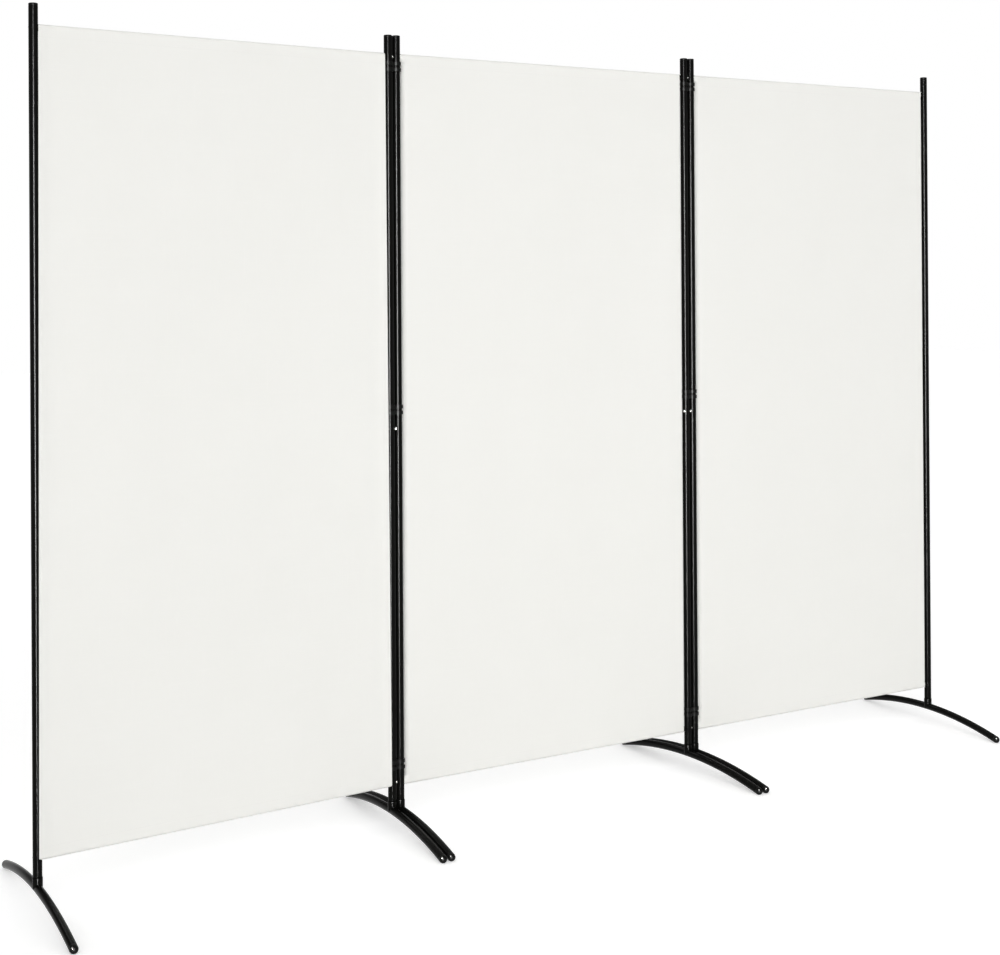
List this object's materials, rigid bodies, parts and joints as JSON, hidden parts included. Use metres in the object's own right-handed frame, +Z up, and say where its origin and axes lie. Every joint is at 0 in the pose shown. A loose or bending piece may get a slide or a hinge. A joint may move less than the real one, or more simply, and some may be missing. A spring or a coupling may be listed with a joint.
{
  "type": "fabric room divider",
  "caption": "folding screen of white fabric panels in slim black tube frames, joined by clips at the posts, standing on low arched feet",
  "frame": {"origin": "on the floor, at the middle of the divider's box in plan", "axes": "+X runs along the panels from left to right, +Y from the front to the back, +Z up"},
  "size_m": [2.6526, 0.6184, 1.811],
  "materials": {
    "frame_paint": "satin black powder coat",
    "black_plastic": "moulded satin black",
    "panel_cloth": "off-white polyester, plain weave",
    "button_zinc": "bright zinc plating"
  },
  "bodies": {
    "middle_panel": {"panel_2_fabric": "panel_cloth", "panel_2_top_bar": "frame_paint", "panel_2_bottom_bar": "frame_paint", "post_3_upper_tube": "frame_paint", "post_3_lower_tube": "frame_paint", "post_3_top_cap": "black_plastic", "post_4_upper_tube": "frame_paint", "post_4_lower_tube": "frame_paint", "post_4_top_cap": "black_plastic"},
    "left_hinge": {"left_top_clip": "black_plastic", "left_middle_clip": "black_plastic", "left_bottom_clip": "black_plastic", "foot_2": "frame_paint", "foot_2_front_cap": "black_plastic", "foot_2_rear_cap": "black_plastic", "foot_3": "frame_paint", "foot_3_front_cap": "black_plastic", "foot_3_rear_cap": "black_plastic"},
    "left_panel": {"panel_1_fabric": "panel_cloth", "panel_1_top_bar": "frame_paint", "panel_1_bottom_bar": "frame_paint", "post_1_upper_tube": "frame_paint", "post_1_lower_tube": "frame_paint", "post_1_top_cap": "black_plastic", "post_2_upper_tube": "frame_paint", "post_2_lower_tube": "frame_paint", "post_2_top_cap": "black_plastic"},
    "right_hinge": {"right_top_clip": "black_plastic", "right_middle_clip": "black_plastic", "right_bottom_clip": "black_plastic", "foot_4": "frame_paint", "foot_4_front_cap": "black_plastic", "foot_4_rear_cap": "black_plastic", "foot_5": "frame_paint", "foot_5_front_cap": "black_plastic", "foot_5_rear_cap": "black_plastic"},
    "right_panel": {"panel_3_fabric": "panel_cloth", "panel_3_top_bar": "frame_paint", "panel_3_bottom_bar": "frame_paint", "post_5_upper_tube": "frame_paint", "post_5_lower_tube": "frame_paint", "post_5_top_cap": "black_plastic", "post_6_upper_tube": "frame_paint", "post_6_lower_tube": "frame_paint", "post_6_top_cap": "black_plastic"},
    "left_end_foot": {"foot_1": "frame_paint", "foot_1_front_cap": "black_plastic", "foot_1_rear_cap": "black_plastic"},
    "right_end_foot": {"foot_6": "frame_paint", "foot_6_front_cap": "black_plastic", "foot_6_rear_cap": "black_plastic"},
    "post_1_button": {"post_1_snap_button": "button_zinc"},
    "post_2_button": {"post_2_snap_button": "button_zinc"},
    "post_3_button": {"post_3_snap_button": "button_zinc"},
    "post_4_button": {"post_4_snap_button": "button_zinc"},
    "post_5_button": {"post_5_snap_button": "button_zinc"},
    "post_6_button": {"post_6_snap_button": "button_zinc"}
  },
  "joints": [
    {"name": "left_clip_hinge", "type": "hinge", "parent": "middle_panel", "child": "left_hinge", "pos_m": [-0.42727, 0.0252, 0.954], "axis": [0, 0, 1], "range_deg": [-91.7, 88.3]},
    {"name": "left_panel_hinge", "type": "hinge", "parent": "left_hinge", "child": "left_panel", "pos_m": [-0.44876, 0.02456, 0.954], "axis": [0, 0, 1], "range_deg": [-91.7, 88.3]},
    {"name": "right_clip_hinge", "type": "hinge", "parent": "middle_panel", "child": "right_hinge", "pos_m": [0.41873, 0.0252, 0.954], "axis": [0, 0, 1], "range_deg": [-90, 90]},
    {"name": "right_panel_hinge", "type": "hinge", "parent": "right_hinge", "child": "right_panel", "pos_m": [0.44023, 0.0252, 0.954], "axis": [0, 0, 1], "range_deg": [-90, 90]},
    {"name": "left_foot_swivel", "type": "hinge", "parent": "left_panel", "child": "left_end_foot", "pos_m": [-1.29327, -0.02561, 0.954], "axis": [0, 0, 1], "range_deg": [-82.6, 97.4]},
    {"name": "right_foot_swivel", "type": "hinge", "parent": "right_panel", "child": "right_end_foot", "pos_m": [1.28623, 0.0252, 0.954], "axis": [0, 0, 1], "range_deg": [-91.8, 88.2]},
    {"name": "post_1_button_press", "type": "slide", "parent": "left_panel", "child": "post_1_button", "axis": [0.0593, -0.9982, 0], "range_m": [0, 0.003], "stiffness_N_per_m": 2000},
    {"name": "post_2_button_press", "type": "slide", "parent": "left_panel", "child": "post_2_button", "axis": [0.8796, 0.4756, 0], "range_m": [0, 0.003], "stiffness_N_per_m": 2000},
    {"name": "post_3_button_press", "type": "slide", "parent": "middle_panel", "child": "post_3_button", "axis": [0.9063, 0.4226, 0], "range_m": [0, 0.003], "stiffness_N_per_m": 2000},
    {"name": "post_4_button_press", "type": "slide", "parent": "middle_panel", "child": "post_4_button", "axis": [0.9063, 0.4226, 0], "range_m": [0, 0.003], "stiffness_N_per_m": 2000},
    {"name": "post_5_button_press", "type": "slide", "parent": "right_panel", "child": "post_5_button", "axis": [0.9063, 0.4226, 0], "range_m": [0, 0.003], "stiffness_N_per_m": 2000},
    {"name": "post_6_button_press", "type": "slide", "parent": "right_panel", "child": "post_6_button", "axis": [0, -1, 0], "range_m": [0, 0.003], "stiffness_N_per_m": 2000}
  ]
}
